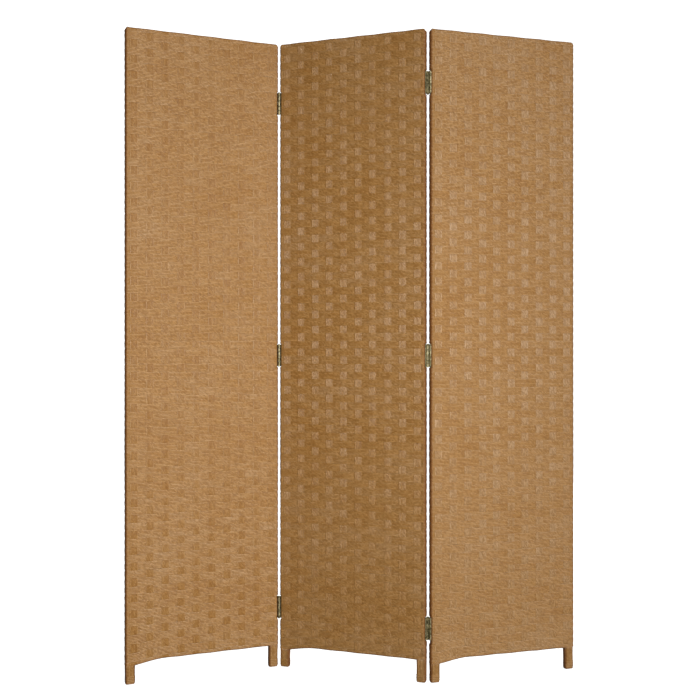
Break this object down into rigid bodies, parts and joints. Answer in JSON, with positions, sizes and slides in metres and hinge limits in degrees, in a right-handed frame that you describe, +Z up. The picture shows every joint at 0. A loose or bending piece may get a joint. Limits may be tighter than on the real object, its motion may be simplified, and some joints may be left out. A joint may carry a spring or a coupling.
{
  "type": "folding room divider screen",
  "caption": "Tall zigzag room divider of woven cord panels over wooden frames, standing on short feet and joined by brass butt hinges that fold either way in turn.",
  "frame": {"origin": "on the floor, at the centre of the standing screen in plan", "axes": "+Z up along the panels, +Y through the zigzag from its front to its back, +X along the row of panels from the left panel to the right panel"},
  "size_m": [1.242, 0.1894, 1.78],
  "materials": {
    "weft_cord": "twisted paper cord, satin",
    "warp_cord": "twisted paper cord, satin",
    "foot_cord": "twisted paper cord, satin",
    "frame_wood": "planed softwood, unfinished",
    "dowel_wood": "birch dowel, unfinished",
    "hinge_brass": "antique brass, satin",
    "hinge_pin": "antique brass, polished ends",
    "screw_brass": "antique brass, satin"
  },
  "bodies": {
    "left_panel": {"left_fold_bottom_left_panel_leaf": "hinge_brass", "left_fold_middle_left_panel_leaf": "hinge_brass", "left_fold_top_left_panel_leaf": "hinge_brass", "left_panel_back_warp": "warp_cord", "left_panel_back_weft": "weft_cord", "left_panel_bottom_rail": "frame_wood", "left_panel_dowels": "dowel_wood", "left_panel_foot_wraps": "foot_cord", "left_panel_front_warp": "warp_cord", "left_panel_front_weft": "weft_cord", "left_panel_hinge_screws": "screw_brass", "left_panel_left_stile": "frame_wood", "left_panel_middle_rail": "frame_wood", "left_panel_right_stile": "frame_wood", "left_panel_top_rail": "frame_wood"},
    "middle_panel": {"left_fold_bottom_middle_panel_leaf": "hinge_brass", "left_fold_bottom_pin": "hinge_pin", "left_fold_middle_middle_panel_leaf": "hinge_brass", "left_fold_middle_pin": "hinge_pin", "left_fold_top_middle_panel_leaf": "hinge_brass", "left_fold_top_pin": "hinge_pin", "middle_panel_back_warp": "warp_cord", "middle_panel_back_weft": "weft_cord", "middle_panel_bottom_rail": "frame_wood", "middle_panel_dowels": "dowel_wood", "middle_panel_foot_wraps": "foot_cord", "middle_panel_front_warp": "warp_cord", "middle_panel_front_weft": "weft_cord", "middle_panel_hinge_screws": "screw_brass", "middle_panel_left_stile": "frame_wood", "middle_panel_middle_rail": "frame_wood", "middle_panel_right_stile": "frame_wood", "middle_panel_top_rail": "frame_wood", "right_fold_bottom_middle_panel_leaf": "hinge_brass", "right_fold_bottom_pin": "hinge_pin", "right_fold_middle_middle_panel_leaf": "hinge_brass", "right_fold_middle_pin": "hinge_pin", "right_fold_top_middle_panel_leaf": "hinge_brass", "right_fold_top_pin": "hinge_pin"},
    "right_panel": {"right_fold_bottom_right_panel_leaf": "hinge_brass", "right_fold_middle_right_panel_leaf": "hinge_brass", "right_fold_top_right_panel_leaf": "hinge_brass", "right_panel_back_warp": "warp_cord", "right_panel_back_weft": "weft_cord", "right_panel_bottom_rail": "frame_wood", "right_panel_dowels": "dowel_wood", "right_panel_foot_wraps": "foot_cord", "right_panel_front_warp": "warp_cord", "right_panel_front_weft": "weft_cord", "right_panel_hinge_screws": "screw_brass", "right_panel_left_stile": "frame_wood", "right_panel_middle_rail": "frame_wood", "right_panel_right_stile": "frame_wood", "right_panel_top_rail": "frame_wood"}
  },
  "joints": [
    {"name": "left_fold", "type": "hinge", "parent": "middle_panel", "child": "left_panel", "pos_m": [-0.21541, 0.07963, 0.89], "axis": [0, 0, 1], "range_deg": [-45.5, 134.5]},
    {"name": "right_fold", "type": "hinge", "parent": "middle_panel", "child": "right_panel", "pos_m": [0.20167, -0.06209, 0.89], "axis": [0, 0, 1], "range_deg": [-40, 140]}
  ]
}
